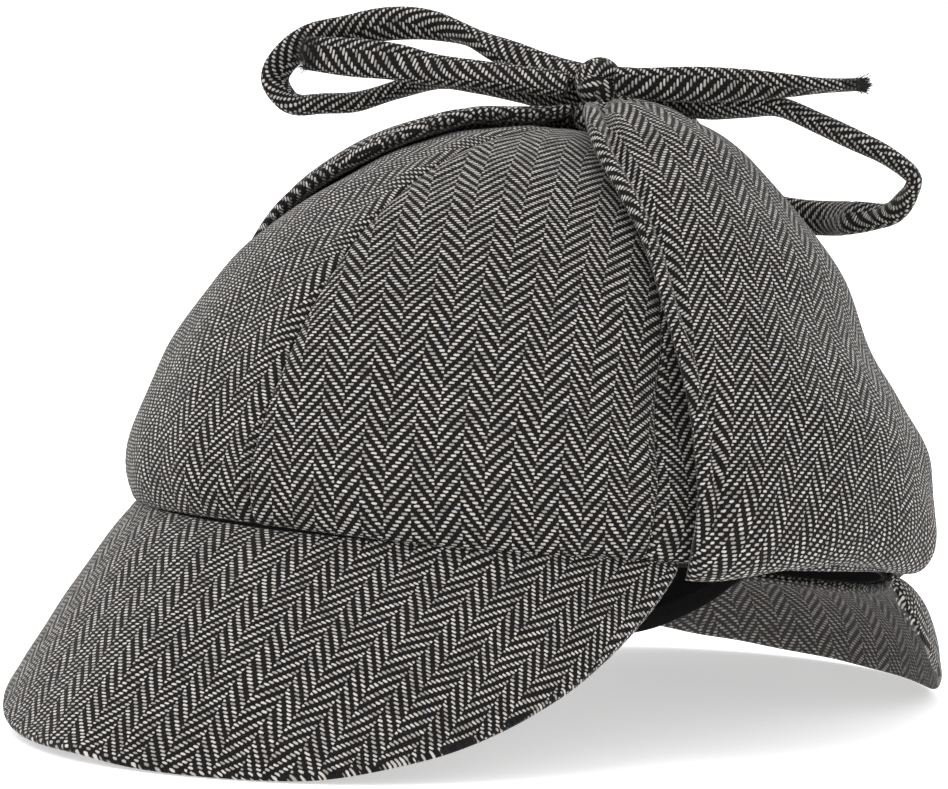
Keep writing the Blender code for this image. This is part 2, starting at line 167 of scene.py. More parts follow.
KNOT = (-0.003, 0.0125, 0.1138)
KNOT_ROOT = 0.106  # height of the ties' cloth below the knot
KNOT_LEAN = -28.0  # degrees, of the band across its front
KNOT_GIRTH = 18.0  # millimetres of cloth round a band
TIE_FACING = (0.62, -0.784, 0.025)  # towards the viewer
TIE_GIRTH = 21.0  # millimetres of cloth round a tie
TIE_NECK = 0.008  # how far from the knot the tubes are narrower
TIE_NECK_SHARE = 0.92
TIE_SQUARE = 0.85  # power that makes its section a little square
TIE_SWELL = (0.04, 0.016, 41)  # share of its width, size, seed
TIE_SHEET_START = {"bow_loop_right": 1.4, "tie_end_right": 1.8, "tie_end_left": -1.2, "bow_loop_left": 0.6}
TIE_ROW = 0.0012  # between a tie's rings of points
TIE_CUT = 0.0030  # unravelled and dark at a cut end
THREADS = 220  # loose threads at each cut end
THREAD_RADIUS = 0.00011
THREAD_LENGTH = (0.0018, 0.0034)
THREAD_ROOT = 0.0012  # how deep they start inside the end
LONG_THREAD = 0.0012  # how much longer a few of them are

# The ties' routes, in millimetres, as the solids have them.
TIE_ROUTES = {
    "bow_loop_right": (
        (-9, 12, 116), (-18, 9, 117), (-29, 5, 120), (-38, 2, 123), (-47, -1, 124.5), (-56, -4, 124),
        (-67, -8, 121.5), (-75, -12, 118.5), (-80, -15, 113), (-82, -16, 107.5), (-79, -15, 103),
        (-75, -14, 101.5), (-70, -11, 102.5), (-63, -6, 104), (-55, -1, 108), (-46, 4, 112),
        (-37, 8, 112), (-27, 11, 111), (-17, 13, 110), (-9, 14, 111.5),
    ),
    "tie_end_right": (
        (-9, 8, 113), (-19, 2, 113), (-28, -4, 113), (-38, -8, 113), (-48, -12, 114),
        (-58, -15, 114), (-67, -18, 114), (-70, -19, 114),
    ),
    "tie_end_left": (
        (3, 12, 115), (11, 14, 115), (22, 18, 116), (33, 22, 117), (44, 26, 118), (53, 30, 119),
        (60, 33, 120),
    ),
    "bow_loop_left": (
        (3, 16, 112), (11, 21, 112), (21, 25, 111), (30, 28, 112), (39, 30, 113), (49, 33, 110),
        (58, 35, 107), (66, 38, 104), (72, 41, 100), (72, 42, 97), (69, 43, 93), (62, 46, 90),
        (52, 48, 89), (45, 54, 89), (36, 60, 89), (26, 63, 89), (17, 62, 90), (10, 57, 94),
        (6, 48, 100), (5, 39, 106), (5, 29, 111), (3, 19, 114.5),
    ),
}

# How each tie's flattened tube lies, which is turned about its own line from facing the viewer.
TIE_LAY = {
    # distance along it in millimetres, turn in degrees, width and thickness in millimetres
    "bow_loop_right": (
        (0, 50, 8.0, 4.8), (22, 50, 8.4, 4.8), (31, 92, 8.2, 4.7), (41, 141, 8.4, 4.8),
        (51, 165, 8.5, 4.8), (63, 128, 8.4, 4.8), (80, 135, 8.4, 4.8), (87, 133, 8.4, 4.6),
        (92, 120, 8.4, 4.6), (98, 109, 8.4, 4.8), (112, 106, 8.4, 4.8), (121, 90, 8.4, 4.8),
        (150, 70, 8.0, 4.8), (171, 60, 8.0, 4.8),
    ),
    "tie_end_right": (
        (0, 45, 8.2, 4.6), (22, 42, 8.4, 4.6), (33, 28, 8.6, 4.6), (44, 5, 9.0, 4.4),
        (55, 0, 9.0, 4.3), (67, -5, 8.2, 4.2),
    ),
    "tie_end_left": (
        (0, 20, 8.0, 4.6), (20, 8, 8.2, 4.6), (32, 30, 8.2, 4.6), (43, 64, 8.0, 4.2),
        (53, 85, 7.6, 3.2), (61, 90, 7.2, 2.9),
    ),
    "bow_loop_left": (
        (0, 60, 8.0, 4.6), (20, 75, 8.4, 4.6), (30, 88, 8.4, 4.6), (74, 90, 8.4, 4.5),
        (80, 88, 8.4, 4.0), (85, 70, 8.4, 4.6), (93, 64, 8.4, 4.6), (100, 32, 8.4, 4.6),
        (107, 12, 8.6, 4.6), (114, 0, 8.6, 4.6), (190, 30, 8.0, 4.6),
    ),
}

# How it rests: the brow's lift in degrees, and where the hat's own origin then is.
REST_PITCH = 6.7
REST_Y = 0.0085
REST_Z = 0.0381
PRESS = 0.001  # the height under which the cloth is pressed flat

# The camera, given in the hat's own frame.
VIEW_TURN = 39.0  # degrees from straight ahead of the brow towards the left ear
VIEW_RISE = 10.0
VIEW_PITCH = 11.0  # the brow's lift in the picture
VIEW_DISTANCE = 1.3
LENS = 204.9
SENSOR = 36.0
SHIFT = (-0.0485, 0.163)

# The weave, in millimetres.
WARP = 0.64
PICK = 0.86
PERIOD = 17  # warps in a pair of columns of the herringbone, which lean opposite ways
FIRST_COLUMN = 9  # warps in the first of the pair
WARP_DRIFT = (0.045, 2.2)  # slow wandering: changes a millimetre, and how wide
PICK_DRIFT = (0.04, 3.0)
SHAKE = (1.3, 0.22, 0.25)  # small irregularity: changes a millimetre, and how wide across and along
OFF_WHITE = (0.53, 0.512, 0.485)
BLACK = (0.0055, 0.0053, 0.0054)
BLACK_WORN = (0.013, 0.0125, 0.012)

FLATTENING_ROUNDS = 60

# How far the herringbone's columns lean, in degrees. Elsewhere they stand straight.
LEAN = {"front_left": 6.0, "front_right": -6.0, "ear_flap_left": -18.0, "ear_flap_right": 8.0}
GORE_STRETCH = 0.97  # of the pattern across a gore


def row_between(rows, at, column):
    """The table's column at a place between its rows, joined by a smooth curve."""
    places = np.array([row[0] for row in rows])
    values = np.array([row[column] for row in rows])
    at = np.clip(at, places[0], places[-1])
    slopes = np.gradient(values, places)
    last = len(places) - 2
    index = np.clip(np.searchsorted(places, at, side="right") - 1, 0, last)
    span = places[index + 1] - places[index]
    t = (at - places[index]) / span
    start, end = values[index], values[index + 1]
    out = t * t * (3 - 2 * t)
    bend = t * (1 - t) * span
    return start + (end - start) * out + bend * ((1 - t) * slopes[index] - t * slopes[index + 1])


def hump(at, middle, spread):
    """A smooth hump, 1 at its middle."""
    return np.exp(-(((at - middle) / spread) ** 2))


def dent(angle, up):
    """How far the crown is sunk in at a place."""
    above = (up - DENT_MIDDLE[1]) / DENT_HALF[1]
    return DENT * hump(angle, DENT_MIDDLE[0], DENT_HALF[0]) * np.clip(1 - above**2, 0, 1)


def base_line(angle):
    """The line round the opening at which crown and peaks meet."""
    turn = np.radians(angle)
    x = HALF_WIDTH * np.sin(turn)
    y = -HALF_LENGTH * np.cos(turn)
    drawn_up = SIDE_LIFT * hump(angle, *SIDE_LIFT_AT)
    return np.stack([x, y, SIDE_RISE * np.sin(turn) ** 2 + drawn_up], axis=-1)


def crown_skin(angle, up):
    """A point on the crown's outside. up runs from 0 at the base to 1 at the apex."""
    nape = (0.5 - 0.5 * np.cos(np.radians(angle))) ** 1.3
    height_power = BROW_SHAPE[0] + (NAPE_SHAPE[0] - BROW_SHAPE[0]) * nape
    radius_power = BROW_SHAPE[1] + (NAPE_SHAPE[1] - BROW_SHAPE[1]) * nape
    turn = np.clip(up, 0.0, 1.0) * math.pi / 2
    height = np.sin(turn) ** (2 / height_power)
    radius = np.maximum(np.cos(turn), 0.0) ** (2 / radius_power)
    puff = up / PUFF_AT * np.exp(1 - up / PUFF_AT)
    radius = radius * (1 + BASE_PUFF * puff + FULLNESS * np.sin(math.pi * ramp(up, 0.8)))
    base = base_line(angle)
    lean = height**1.5
    x = base[..., 0] * radius + APEX_X * lean
    between = ramp(up - SLACK_UP[0], SLACK_UP[1] - SLACK_UP[0])
    x = x * (1 - RIGHT_SLACK * np.sin(math.pi * between) * ramp(-x, SLACK_WIDTH))
    y = base[..., 1] * radius + APEX_Y * lean
    z = base[..., 2] * (1 - height) + CROWN_HEIGHT * height
    return np.stack([x, y, z], axis=-1)


def unit(vectors):
    return vectors / np.maximum(np.linalg.norm(vectors, axis=-1, keepdims=True), 1e-12)


def crown_out(angle, up):
    """The direction straight out of the crown."""
    step = 0.001
    rise = crown_skin(angle, np.minimum(up + step, 1)) - crown_skin(angle, np.maximum(up - step, 0))
    along = crown_skin(angle + 0.5, up) - crown_skin(angle - 0.5, up)
    return unit(np.cross(unit(along), rise))


def crown_point(angle, up, off):
    """A point off the crown's outside by this much."""
    angle, up, off = np.broadcast_arrays(np.float64(angle), np.float64(up), np.float64(off))
    return crown_skin(angle, up) + crown_out(angle, up) * off[..., None]


def place(points):
    """From the hat's own frame to the frame in which it rests, pressing the lowest cloth flat."""
    pitch = math.radians(REST_PITCH)
    x, y, z = points[..., 0], points[..., 1], points[..., 2]
    back = y * math.cos(pitch) + z * math.sin(pitch) + REST_Y
    height = z * math.cos(pitch) - y * math.sin(pitch) + REST_Z
    pressed = PRESS * np.exp(np.minimum(height - PRESS, 0) / PRESS)
    height = np.where(height < PRESS, pressed, height)
    return np.stack([x, back, height], axis=-1)


def ripples(points, size, seed, count=20):
    """A smooth irregular field over points, about -1 to 1, whose humps are about size across."""
    chance = np.random.default_rng(seed)
    heading = unit(chance.normal(size=(count, 3)))
    rate = chance.uniform(0.7, 1.5, count) * math.pi / size
    start = chance.uniform(0, 2 * math.pi, count)
    return np.sin(points @ (heading * rate[:, None]).T + start).sum(-1) / math.sqrt(count)


def unevenness(points, *waves):
    """Ripples over points, added up, each given by its height, the size of its humps and its seed."""
    return sum(height * ripples(points, size, seed) for height, size, seed in waves)


def bowed(value, power):
    """A power of a value, its sign kept."""
    return np.sign(value) * np.abs(value) ** power


def ramp(value, length):
    """From 0 up to 1 over this length, and level beyond."""
    return np.clip(value / length, 0, 1)


def side_shares(cells, rim, length, rim_cells=4):
    """Shares along a side of this length, crowded into the round rims at both its ends."""
    turn = np.linspace(0, math.pi / 2, rim_cells + 1)
    near = rim / length * (1 - np.cos(turn))
    middle = np.linspace(near[-1], 1 - near[-1], cells + 1)[1:-1]
    return np.concatenate([near, middle, 1 - near[::-1]])


def rim_shape(shares, rim, length):
    """The share of the full thickness at each place along a side with round rims."""
    inward = np.minimum(shares, 1 - shares) * length / rim
    return np.sqrt(np.maximum(1 - (1 - np.clip(inward, 0, 1)) ** 2, 0))


def lengths_along(grid, axis):
    """How far each point lies along its row or column, from its start."""
    steps = np.linalg.norm(np.diff(grid, axis=axis), axis=-1)
    start = np.zeros_like(np.take(steps, [0], axis=axis))
    return np.cumsum(np.concatenate([start, steps], axis=axis), axis=axis)


def corners_of(grid):
    """The four corners of each cell of a grid."""
    return np.stack([grid[:-1, :-1], grid[:-1, 1:], grid[1:, 1:], grid[1:, :-1]], 2)


def from_middle(grid):
    """How far each point lies along its row from its middle."""
    way = lengths_along(grid, 1)
    return way - way[:, way.shape[1] // 2, None]


def gore_cloth(grid):
    """Where each point of a curved gore lies on its flat cloth, in millimetres: rows run up."""
    middle = grid.shape[1] // 2
    across = from_middle(grid)
    along = lengths_along(grid[:, middle], 0)
    wide = (across[:, -1] - across[:, 0])[1:-1]
    narrowing = -np.gradient(wide, along[1:-1]) / wide
    narrowing = np.convolve(np.pad(narrowing, 3, mode="edge"), np.ones(7) / 7, mode="valid")
    narrowing = np.pad(np.clip(narrowing, 0, 1 / 0.03), 1, mode="edge")[:, None]
    turned = np.clip(across * narrowing, -1.2, 1.2)
    round_way = np.maximum(narrowing, 1e-3)
    u = np.where(narrowing > 1e-3, np.sin(turned) / round_way, across)
    v = along[:, None] + (1 - np.cos(turned)) / round_way
    return np.stack([u, v], -1) * 1000


def flat_cloth(grid, cells=(13, 27)):
    """Lay a curved piece out flat with as little stretch as it allows, in millimetres.

    It is taken as a coarse net of triangles. Each is turned to where it fits best, then the corners
    move to where all their triangles agree, again and again.
    """
    rows = lengths_along(grid[:, grid.shape[1] // 2], 0)
    columns = lengths_along(grid[len(grid) // 2], 0)
    picked = [np.searchsorted(s, np.linspace(0, s[-1], n)) for s, n in zip((rows, columns), cells)]
    solid = grid[np.ix_(*picked)]
    index = np.arange(solid.shape[0] * solid.shape[1]).reshape(solid.shape[:2])
    quads = corners_of(index).reshape(-1, 4)
    threes = np.concatenate([quads[:, [0, 1, 2]], quads[:, [0, 2, 3]]])
    points = solid.reshape(-1, 3)[threes]
    one, two = points[:, 1] - points[:, 0], points[:, 2] - points[:, 0]
    wide = np.linalg.norm(one, axis=-1)
    along = np.sum(one * two, -1) / wide
    high = np.linalg.norm(np.cross(one, two), axis=-1) / wide
    rest = np.zeros((len(threes), 3, 2))
    rest[:, 1, 0] = wide
    rest[:, 2] = np.stack([along, high], -1)
    start, end = threes[:, [0, 1, 2]].ravel(), threes[:, [1, 2, 0]].ravel()
    edges = (rest[:, [1, 2, 0]] - rest).reshape(-1, 2)
    joined = np.zeros((index.size, index.size))
    for pair, share in ((start, start), 1), ((end, end), 1), ((start, end), -1), ((end, start), -1):
        np.add.at(joined, pair, share)
    solve = np.linalg.pinv(joined)
    across = from_middle(solid)
    middle = solid.shape[1] // 2
    up = np.broadcast_to(lengths_along(solid[:, middle], 0)[:, None], across.shape)
    flat = np.stack([across, up], -1).reshape(-1, 2)
    was = edges.reshape(-1, 3, 2)
    for _ in range(FLATTENING_ROUNDS):
        now = (flat[end] - flat[start]).reshape(-1, 3, 2)
        crossed = np.sum(was[..., 0] * now[..., 1] - was[..., 1] * now[..., 0], -1)
        turn = np.arctan2(crossed, np.sum(was * now, (-1, -2)))
        c, s = np.repeat(np.cos(turn), 3), np.repeat(np.sin(turn), 3)
        pull = np.stack([c * edges[:, 0] - s * edges[:, 1], s * edges[:, 0] + c * edges[:, 1]], -1)
        load = np.zeros((index.size, 2))
        np.add.at(load, end, pull)
        np.add.at(load, start, -pull)
        flat = solve @ load
    flat = flat.reshape(*solid.shape[:2], 2)
    up = flat[-1, middle] - flat[0, middle]
    turn = math.atan2(up[0], up[1])
    u, v = np.moveaxis(flat - flat[0, middle], -1, 0)
    c, s = math.cos(turn), math.sin(turn)
    flat = np.stack([u * c - v * s, u * s + v * c], -1)
    for axis, way, chosen in ((1, columns, picked[1]), (0, rows, picked[0])):
        flat = np.apply_along_axis(lambda line: np.interp(way, way[chosen], line), axis, flat)
    return flat * 1000


def let_out(cloth, outer, smooth):
    """Add what a piece's face takes up over side rolls and grooves to its smooth middle's cloth."""
    heading = unit(np.gradient(cloth, axis=1))
    return cloth + heading * (from_middle(outer) - from_middle(smooth))[..., None] * 1000


def cut(cloth, name, stretch=1.0):
    """Lay a piece on the cloth, on which the columns lean as this piece has them."""
    lean = math.tan(math.radians(LEAN.get(name, 0.0)))
    return np.stack([(cloth[..., 0] + cloth[..., 1] * lean) * stretch, cloth[..., 1]], -1)


def mesh_from(name, points, faces, corner_cloth):
    """A closed mesh facing out, with its cloth's coordinates in millimetres as a UV map."""
    mesh = bpy.data.meshes.new(name)
    mesh.from_pydata(place(points).tolist(), [], faces)
    layer = mesh.uv_layers.new(name="cloth")
    layer.data.foreach_set("uv", np.asarray(corner_cloth, np.float32).ravel())
    body = bmesh.new()
    body.from_mesh(mesh)
    if body.calc_volume(signed=True) < 0:
        bmesh.ops.reverse_faces(body, faces=body.faces)
    body.to_mesh(mesh)
    body.free()
    mesh.shade_smooth()
    return mesh


def add_piece(name, data):
    piece = bpy.data.objects.new(name, data)
    bpy.context.scene.collection.objects.link(piece)
    return piece


def finish_piece(data, material, node=None):
    """A piece of the hat. node is the solid that it dresses."""
    piece = add_piece(data.name, data)
    data.materials.append(material)
    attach(piece, "root")
    if node:
        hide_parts(node)
    return piece


def pillow(name, middle, half, outward, cloth, material, under=None, node=None):
    """A closed piece of cloth about a middle surface, whose two faces meet along its border.

    under is a second material for the inner face (the flaps get a copy of the cloth painted darker, as
    painted shade; the rear peak one painted lighter, as painted light), and node the solid's name if it
    isn't the piece's.
    """
    rows, columns = middle.shape[:2]
    outer = middle + outward * half[..., None]
    inner = middle - outward * half[..., None]
    outer_index = np.arange(rows * columns).reshape(rows, columns)
    inside = np.zeros((rows, columns), bool)
    inside[1:-1, 1:-1] = True
    inner_index = outer_index.copy()
    inner_index[inside] = rows * columns + np.arange(inside.sum())
    points = np.concatenate([outer.reshape(-1, 3), inner[inside]])
    cells = corners_of(cloth).reshape(-1, 4, 2)
    faces = np.concatenate(
        [corners_of(outer_index).reshape(-1, 4), corners_of(inner_index).reshape(-1, 4)[:, ::-1]]
    )
    corner_cloth = np.concatenate([cells, cells[:, ::-1]])
    mesh = mesh_from(f"tweed_{name}", points, faces.tolist(), corner_cloth)
    piece = finish_piece(mesh, material, node or name)
    if under:
        mesh.materials.append(under)
        mesh.polygons.foreach_set("material_index", np.repeat([0, 1], len(faces) // 2))
    return piece


def tube(name, grid, cloth, round_columns, round_rows=None):
    """A closed mesh over a grid whose columns close round, and its rows too or else they are capped.

    round_columns and round_rows are the cloth's length once round them, in millimetres.
    """
    rows, columns = grid.shape[:2]
    index = np.arange(rows * columns).reshape(rows, columns)
    index = np.concatenate([index, index[:, :1]], 1)
    cloth = np.concatenate([cloth, cloth[:, :1] + np.array([round_columns, 0.0])], 1)
    if round_rows is not None:
        index = np.concatenate([index, index[:1]])
        cloth = np.concatenate([cloth, cloth[:1] + np.array([0.0, round_rows])])
    faces = corners_of(index).reshape(-1, 4).tolist()
    corner_cloth = corners_of(cloth).reshape(-1, 2)
    if round_rows is None:
        first, last = index[0, :-1], index[-1, :-1]
        faces += [first[::-1].tolist(), last.tolist()]
        corner_cloth = np.concatenate([corner_cloth, cloth[0, :-1][::-1], cloth[-1, :-1]])
    return mesh_from(name, grid.reshape(-1, 3), faces, corner_cloth)


def pose(right, up, back, where):
    return Matrix([*np.stack([right, up, back, where], 1).tolist(), (0, 0, 0, 1)])


def add_camera():
    """The photo's view, given in the hat's own frame and turned with it as it rests."""
    turn, rise = math.radians(VIEW_TURN), math.radians(VIEW_RISE)
    back = np.array([math.sin(turn) * math.cos(rise), -math.cos(turn) * math.cos(rise), math.sin(rise)])
    right = np.array([math.cos(turn), math.sin(turn), 0.0])
    up = np.cross(back, right)
    tip = math.radians(REST_PITCH - VIEW_PITCH)
    c, s = math.cos(tip), math.sin(tip)
    settle = np.array([[1, 0, 0], [0, c, s], [0, -s, c]])
    back, right, up = settle @ back, settle @ right, settle @ up
    where = np.array([0.0, REST_Y, REST_Z]) + VIEW_DISTANCE * back
    data = bpy.data.cameras.new("camera")
    data.lens = LENS
    data.sensor_width = SENSOR
    data.shift_x, data.shift_y = SHIFT
    data.clip_start = 0.05
    data.clip_end = 50.0
    bpy.context.scene.camera = camera = add_piece("camera", data)
    camera.matrix_world = pose(right, up, back, where)


class Wires:
    """Short forms for a node tree."""

    def __init__(self, tree):
        self.tree = tree

    def feed(self, socket, value):
        if isinstance(value, bpy.types.NodeSocket):
            self.tree.links.new(value, socket)
        else:
            socket.default_value = value

    def node(self, kind, inputs=(), **settings):
        """A node with these settings. inputs gives values or sockets by the input's name or number."""
        made = self.tree.nodes.new(kind)
        for key, value in settings.items():
            setattr(made, key, value)
        for key, value in dict(inputs).items():
            self.feed(made.inputs[key], value)
        return made

    def math(self, operation, *values, clamp=False):
        made = self.node("ShaderNodeMath", enumerate(values), operation=operation, use_clamp=clamp)
        return made.outputs[0]

    plus = partialmethod(math, "ADD")
    minus = partialmethod(math, "SUBTRACT")
    times = partialmethod(math, "MULTIPLY")
    over = partialmethod(math, "DIVIDE")
    power = partialmethod(math, "POWER")
    floor = partialmethod(math, "FLOOR")

    def off_middle(self, position, half):
        """0 at the middle of a way from 0 to twice half, and 1 at both its ends."""
        return self.math("ABSOLUTE", self.minus(self.over(position, half), 1.0))

    def mix(self, share, a, b, kind="FLOAT", blend="MIX", sockets=(2, 3, 0)):
        inputs = {"Factor": share, sockets[0]: a, sockets[1]: b}
        made = self.node("ShaderNodeMix", inputs, data_type=kind, blend_type=blend)
        return made.outputs[sockets[2]]

    def mix_colour(self, share, a, b, blend="MIX"):
        return self.mix(share, a, b, "RGBA", blend, (6, 7, 2))

    def noise(self, vector, scale, detail=2.0, roughness=0.5):
        inputs = {"Vector": vector, "Scale": scale, "Detail": detail, "Roughness": roughness}
        return self.node("ShaderNodeTexNoise", inputs).outputs["Fac"]

    def vector(self, x, y, z=0.0):
        return self.node("ShaderNodeCombineXYZ", enumerate((x, y, z))).outputs[0]

    def cloth_place(self):
        """The place on the cloth, and its parts across and along, in millimetres."""
        where = self.node("ShaderNodeUVMap", uv_map="cloth").outputs["UV"]
        split = self.node("ShaderNodeSeparateXYZ", {0: where})
        return where, split.outputs[0], split.outputs[1]

    def bump(self, shader, height, strength, distance):
        inputs = {"Strength": strength, "Distance": distance, "Height": height}
        self.feed(shader.inputs["Normal"], self.node("ShaderNodeBump", inputs).outputs[0])


def new_material(name, **settings):
    """A material, its shader with these settings (_ for a space), and short forms for its nodes."""
    made = bpy.data.materials.new(name)
    made.use_nodes = True
    shader = made.node_tree.nodes["Principled BSDF"]
    for key, value in settings.items():
        shader.inputs[key.replace("_", " ")].default_value = value
    return made, shader, Wires(made.node_tree)


def colour_of(parts, share=1.0):
    return (*(part * share for part in parts), 1)


def tweed(name, light=1.0, dark=1.0):
    """Herringbone tweed: a 2 and 2 twill of off-white weft over black warp that turns each column.

    light and dark are the shares of the usual brightness that its off-white and black yarns have.
    """
    made, shader, w = new_material(
        name, Roughness=0.92, Specular_IOR_Level=0.03, Sheen_Weight=0.2, Sheen_Roughness=0.25
    )
    where, across, along = w.cloth_place()

    # The yarns wander slowly and shake a little, so no column is quite straight.
    warp_drift = w.minus(w.noise(where, WARP_DRIFT[0], 1.0), 0.5)
    pick_drift = w.minus(w.noise(w.vector(along, across), PICK_DRIFT[0], 1.0), 0.5)
    shake = w.minus(w.noise(where, SHAKE[0], 1.0), 0.5)
    u = w.plus(across, w.times(warp_drift, WARP_DRIFT[1]))
    u = w.plus(u, w.times(shake, SHAKE[1]))
    v = w.plus(along, w.times(pick_drift, PICK_DRIFT[1]))
    v = w.plus(v, w.times(shake, SHAKE[2]))
    u = w.over(u, WARP)
    v = w.over(v, PICK)
    warp, in_warp = w.floor(u), w.math("FRACT", u)
    pick, in_pick = w.floor(v), w.math("FRACT", v)

    # The weft passes over two warps and under two, a warp further each pick, and steps the other
    # way in the second column of a pair.
    pair = w.floor(w.over(w.plus(warp, 0.5), PERIOD))
    in_pair = w.minus(warp, w.times(pair, PERIOD))
    turned = w.math("GREATER_THAN", in_pair, FIRST_COLUMN - 0.5)
    rising = w.math("FLOORED_MODULO", w.plus(w.minus(in_pair, pick), pair), 4.0)
    falling = w.math("FLOORED_MODULO", w.plus(w.minus(3.0, w.plus(in_pair, pick)), pair), 4.0)
    step = w.math("ROUND", w.mix(turned, rising, falling))
    weft = w.math("LESS_THAN", step, 1.5)
    weft_start = w.mix(turned, step, w.minus(1.0, step))
    along_weft = w.plus(weft_start, in_warp)
    along_warp = w.plus(w.minus(3.0, step), in_pick)

    # Each float of the weft is a pale dash with ragged, hairy edges.
    hairy = w.noise(w.vector(u, w.times(v, 1.6)), 1.9, 3.0, 0.7)
    ragged = w.times(w.minus(hairy, 0.5), 2.2)
    reach_long = w.power(w.off_middle(along_weft, 1.0), 3.0)
    reach_wide = w.power(w.over(w.off_middle(in_pick, 0.5), 0.60), 2.0)
    reach = w.plus(w.plus(reach_long, reach_wide), ragged)
    dash = w.times(w.minus(1.5, reach, clamp=True), weft)

    # Both yarns are round, and dip under the next one at their ends.
    heights = []
    for across_yarn, along_yarn in ((in_warp, along_warp), (in_pick, along_weft)):
        yarn_round = w.minus(1.0, w.power(w.off_middle(across_yarn, 0.5), 2.0))
        yarn_dip = w.minus(1.0, w.power(w.off_middle(along_yarn, 1.0), 4.0))
        heights.append(w.times(yarn_round, yarn_dip))
    high = w.mix(weft, w.times(heights[0], 0.7), heights[1])

    # Every float has its own brightness, and every yarn is uneven along its way.
    which = {"Vector": w.vector(w.minus(warp, weft_start), pick)}
    lot = w.node("ShaderNodeTexWhiteNoise", which, noise_dimensions="2D").outputs["Value"]
    uneven_u = w.mix(weft, w.times(warp, 3.7), w.times(u, 0.14))
    uneven_v = w.mix(weft, w.times(v, 0.14), w.times(pick, 3.7))
    uneven = w.noise(w.vector(uneven_u, uneven_v), 1.0, 2.0)
    fuzz = w.times(w.minus(hairy, 0.5), 0.22, clamp=True)
    pale = w.plus(w.times(dash, w.plus(0.47, w.times(lot, 0.7))), fuzz)
    pale = w.times(pale, w.plus(0.75, w.times(uneven, 0.5)), clamp=True)
    dark_yarn = w.mix_colour(uneven, colour_of(BLACK, dark), colour_of(BLACK_WORN, dark))
    colour = w.mix_colour(pale, dark_yarn, colour_of(OFF_WHITE, light))

    # The tone varies from cool to warm over a few yarns, and from dark to light over more.
    tint = w.noise(w.vector(w.times(u, 0.31), w.times(v, 0.31)), 1.0, 1.0)
    tinted = w.mix_colour(tint, (0.93, 0.97, 1.05, 1), (1.08, 1.0, 0.92, 1))
    colour = w.mix_colour(1.0, colour, tinted, "MULTIPLY")
    shade = w.plus(0.86, w.times(w.noise(where, 0.05, 2.0), 0.28))
    colour = w.mix_colour(1.0, colour, w.vector(shade, shade, shade), "MULTIPLY")
    w.feed(shader.inputs["Base Color"], colour)
    w.bump(shader, w.plus(high, w.times(hairy, 0.4)), 0.8, 0.0002)
    return made


def ribbon(name):
    """Plain black ribbon, its lower edge painted a little paler as a painted highlight."""
    made, shader, w = new_material(name, Roughness=0.8, Specular_IOR_Level=0.1)
    where, across, along = w.cloth_place()
    # The lower edge is painted paler: a painted highlight where light catches the ribbon.
    lit_band = w.math("LESS_THAN", across, RIBBON_LIT_EDGE)
    fine = w.noise(where, 3.0, 2.0)
    body = w.mix_colour(fine, (0.004, 0.004, 0.0045, 1), (0.010, 0.010, 0.011, 1))
    edge = w.mix_colour(fine, (0.010, 0.010, 0.0105, 1), (0.018, 0.018, 0.019, 1))
    w.feed(shader.inputs["Base Color"], w.mix_colour(lit_band, body, edge))
    rib = w.math("SINE", w.times(along, 2 * math.pi / RIBBON_RIB))
    w.bump(shader, w.plus(rib, fine), 0.5, 0.00012)
    return made


def thread(name):
    """Dark loose yarn, mottled along its way."""
    made, shader, w = new_material(name, Roughness=0.9)
    mottle = w.noise(w.node("ShaderNodeTexCoord").outputs["Object"], 900.0, 2.0)
    colour = w.mix_colour(mottle, (0.004, 0.004, 0.004, 1), (0.02, 0.019, 0.018, 1))
    w.feed(shader.inputs["Base Color"], colour)
    return made


def crown_panel(name, front, back, material):
    """One gore: its edges turn in at the seams and its hem turns in over the peak."""
    across = side_shares(44, SEAM_ROUND, GORE_SIDES[0])
    rising = side_shares(70, HEM_ROUND, GORE_SIDES[1])
    angle = front + (back - front) * across[None, :]
    up = rising[:, None] ** 1.05 * GORE_TOP
    skin = crown_skin(angle, up)
    from_seam = np.minimum(across, 1 - across)[None, :] * lengths_along(skin, 1)[:, -1:]
    belly = GORE_BELLY * np.sin(math.pi * across)[None, :] ** 0.8 - SEAM_SUNK
    ridge = SEAM_RIDGE * hump(from_seam, *SEAM_RIDGE_AT)
    fade = ramp(from_seam, 0.006) * ramp(rising[:, None], 0.04)
    off = (belly + ridge) * ramp(1 - up, 0.2) + unevenness(skin, *GORE_WAVES) * fade
    outward = crown_out(angle, up)
    seam_round = rim_shape(across, SEAM_ROUND, GORE_SIDES[0])[None, :]
    hem_round = rim_shape(rising, HEM_ROUND, GORE_SIDES[1])[:, None]
    half = CLOTH / 2 * seam_round * hem_round
    middle = skin + outward * (off - dent(angle, up) - CLOTH / 2)[..., None]
    from_brow = np.abs(angle)
    beside_peak = ramp(from_brow - 15, 30) * ramp(125 - from_brow, 15)
    middle[..., 2] -= HEM_REACH * beside_peak * (1 - ramp(rising[:, None], 0.06))
    cloth = cut(gore_cloth(middle + outward * half[..., None]), name, GORE_STRETCH)
    pillow(name, middle, half, outward, cloth, material, node=f"crown_panel_{name}")


